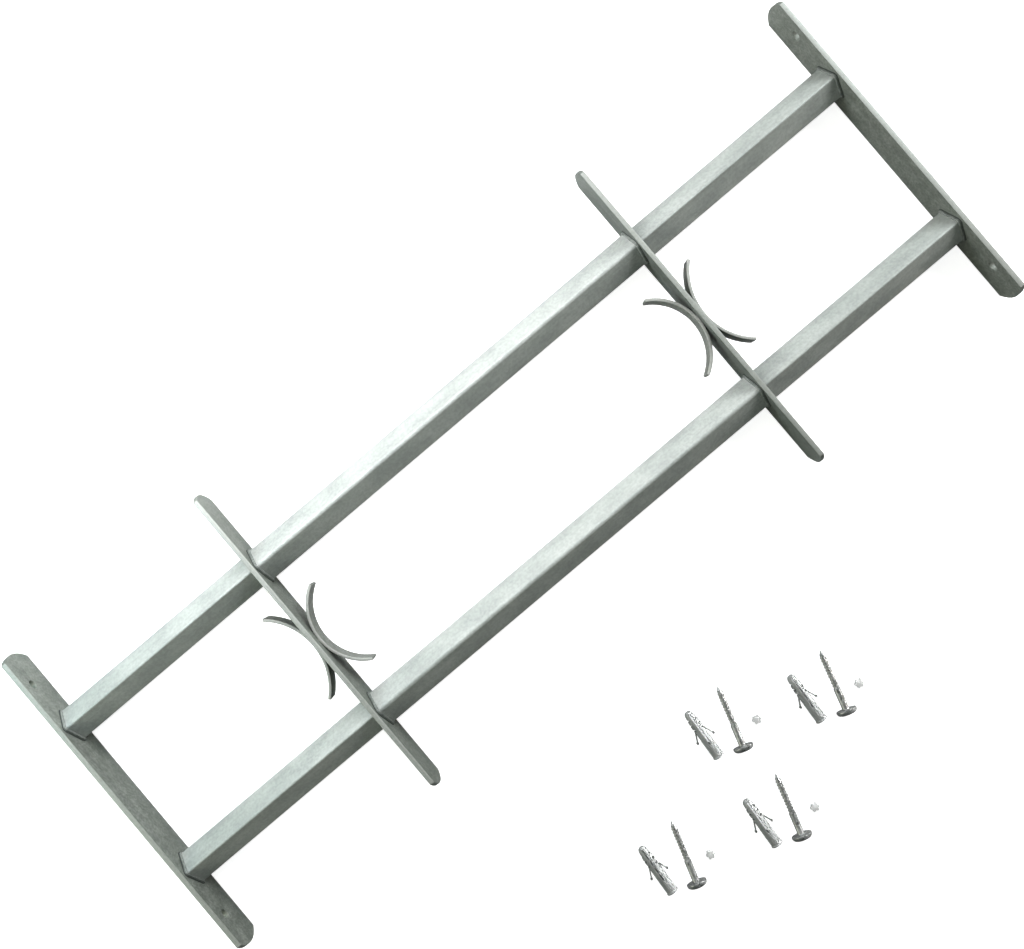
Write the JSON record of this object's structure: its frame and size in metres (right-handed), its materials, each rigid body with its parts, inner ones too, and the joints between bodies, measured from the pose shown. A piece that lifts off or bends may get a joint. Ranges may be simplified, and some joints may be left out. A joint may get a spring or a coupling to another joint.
{
  "type": "window security bar",
  "caption": "Extendable window grille: square bars set on edge slide into a middle section with cross plates and scroll strips; flat end plates screw to the wall; loose fixing kit.",
  "frame": {"origin": "centre of the left end plate's wall face, midway between the two bars and level with their axes", "axes": "+X along the bars to the right end plate, +Y along the end plates towards the upper bar, +Z out of the side whose screw holes sit nearer the edge; the grille lies on its back long edges at Z = -20 mm"},
  "size_m": [0.808, 0.5303, 0.04],
  "materials": {
    "galvanised_plate": "hot-dip galvanised, dull, faintly mottled",
    "galvanised_tube": "galvanised, soft satin",
    "galvanised_strip": "hot-dip galvanised, dull",
    "zinc_screw": "bright zinc plated",
    "plug_plastic": "pale grey nylon",
    "insert_metal": "matt light alloy"
  },
  "bodies": {
    "left_frame": {"end_plate_left": "galvanised_plate", "inner_tube_left_upper": "galvanised_tube", "inner_tube_left_lower": "galvanised_tube"},
    "centre_section": {"outer_tube_upper": "galvanised_tube", "outer_tube_lower": "galvanised_tube", "cross_plate_left": "galvanised_plate", "cross_plate_right": "galvanised_plate", "scroll_left_outer": "galvanised_strip", "scroll_left_inner": "galvanised_strip", "scroll_right_inner": "galvanised_strip", "scroll_right_outer": "galvanised_strip"},
    "right_frame": {"end_plate_right": "galvanised_plate", "inner_tube_right_upper": "galvanised_tube", "inner_tube_right_lower": "galvanised_tube"},
    "screw_1": {"screw_1": "zinc_screw"},
    "wall_plug_1": {"wall_plug_1": "plug_plastic"},
    "star_insert_1": {"star_insert_1": "insert_metal"},
    "screw_2": {"screw_2": "zinc_screw"},
    "wall_plug_2": {"wall_plug_2": "plug_plastic"},
    "star_insert_2": {"star_insert_2": "insert_metal"},
    "screw_3": {"screw_3": "zinc_screw"},
    "wall_plug_3": {"wall_plug_3": "plug_plastic"},
    "star_insert_3": {"star_insert_3": "insert_metal"},
    "screw_4": {"screw_4": "zinc_screw"},
    "wall_plug_4": {"wall_plug_4": "plug_plastic"},
    "star_insert_4": {"star_insert_4": "insert_metal"}
  },
  "joints": [
    {"name": "left_extension", "type": "slide", "parent": "left_frame", "child": "centre_section", "axis": [1, 0, 0], "range_m": [-0.052, 0.123]},
    {"name": "right_extension", "type": "slide", "parent": "centre_section", "child": "right_frame", "axis": [1, 0, 0], "range_m": [-0.056, 0.119]},
    {"name": "lift_screw_1", "type": "slide", "parent": "left_frame", "child": "screw_1", "axis": [0, 0, 1], "range_m": [0, 0.06]},
    {"name": "lift_wall_plug_1", "type": "slide", "parent": "left_frame", "child": "wall_plug_1", "axis": [0, 0, 1], "range_m": [0, 0.06]},
    {"name": "lift_star_insert_1", "type": "slide", "parent": "left_frame", "child": "star_insert_1", "axis": [0, 0, 1], "range_m": [0, 0.06]},
    {"name": "lift_screw_2", "type": "slide", "parent": "left_frame", "child": "screw_2", "axis": [0, 0, 1], "range_m": [0, 0.06]},
    {"name": "lift_wall_plug_2", "type": "slide", "parent": "left_frame", "child": "wall_plug_2", "axis": [0, 0, 1], "range_m": [0, 0.06]},
    {"name": "lift_star_insert_2", "type": "slide", "parent": "left_frame", "child": "star_insert_2", "axis": [0, 0, 1], "range_m": [0, 0.06]},
    {"name": "lift_screw_3", "type": "slide", "parent": "left_frame", "child": "screw_3", "axis": [0, 0, 1], "range_m": [0, 0.06]},
    {"name": "lift_wall_plug_3", "type": "slide", "parent": "left_frame", "child": "wall_plug_3", "axis": [0, 0, 1], "range_m": [0, 0.06]},
    {"name": "lift_star_insert_3", "type": "slide", "parent": "left_frame", "child": "star_insert_3", "axis": [0, 0, 1], "range_m": [0, 0.06]},
    {"name": "lift_screw_4", "type": "slide", "parent": "left_frame", "child": "screw_4", "axis": [0, 0, 1], "range_m": [0, 0.06]},
    {"name": "lift_wall_plug_4", "type": "slide", "parent": "left_frame", "child": "wall_plug_4", "axis": [0, 0, 1], "range_m": [0, 0.06]},
    {"name": "lift_star_insert_4", "type": "slide", "parent": "left_frame", "child": "star_insert_4", "axis": [0, 0, 1], "range_m": [0, 0.06]}
  ]
}
